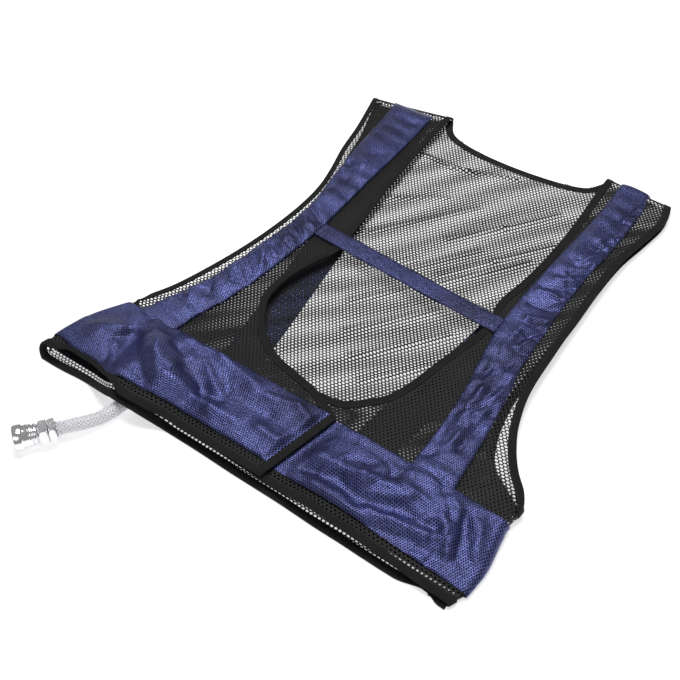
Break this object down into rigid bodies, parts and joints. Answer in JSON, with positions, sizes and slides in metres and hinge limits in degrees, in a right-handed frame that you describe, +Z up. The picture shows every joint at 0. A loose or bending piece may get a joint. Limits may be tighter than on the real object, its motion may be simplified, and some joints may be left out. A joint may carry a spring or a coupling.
{
  "type": "cooling vest",
  "caption": "Sleeveless mesh vest lying on its back, with flat air ducts sewn on waist, fronts and back, a chest strap, and an air hose ending in a metal coupling.",
  "frame": {"origin": "on the floor, under the middle of the vest's own box, without the hose and its coupling", "axes": "+Y from the hem to the neck, +Z up from the back panel to the front panels, -X the wearer's right side"},
  "size_m": [0.5686, 0.7647, 0.0374],
  "materials": {
    "mesh": "open sports mesh",
    "duct": "satin blue cloth with a fine dot weave",
    "tape": "matt binding tape",
    "hose": "clear plastic with white braid",
    "coupling": "bright nickel"
  },
  "bodies": {
    "root": {"front_panel_right": "mesh", "front_panel_left": "mesh", "back_panel": "mesh", "front_duct_right": "duct", "front_duct_left": "duct", "waist_duct_right": "duct", "waist_duct_left": "duct", "waist_duct_back": "duct", "back_duct_right": "duct", "back_duct_left": "duct", "chest_strap": "duct", "hem_tape_right": "tape", "hem_tape_left": "tape", "hem_tape_back": "tape", "armhole_tape_front_right": "tape", "armhole_tape_front_left": "tape", "armhole_tape_back_right": "tape", "armhole_tape_back_left": "tape", "front_edge_tape_right": "tape", "front_edge_tape_left": "tape", "neck_tape_back": "tape", "hose": "hose", "hose_cuff": "duct", "hose_nut": "coupling", "coupler_body": "coupling", "coupler_sleeve": "coupling"}
  },
  "joints": []
}
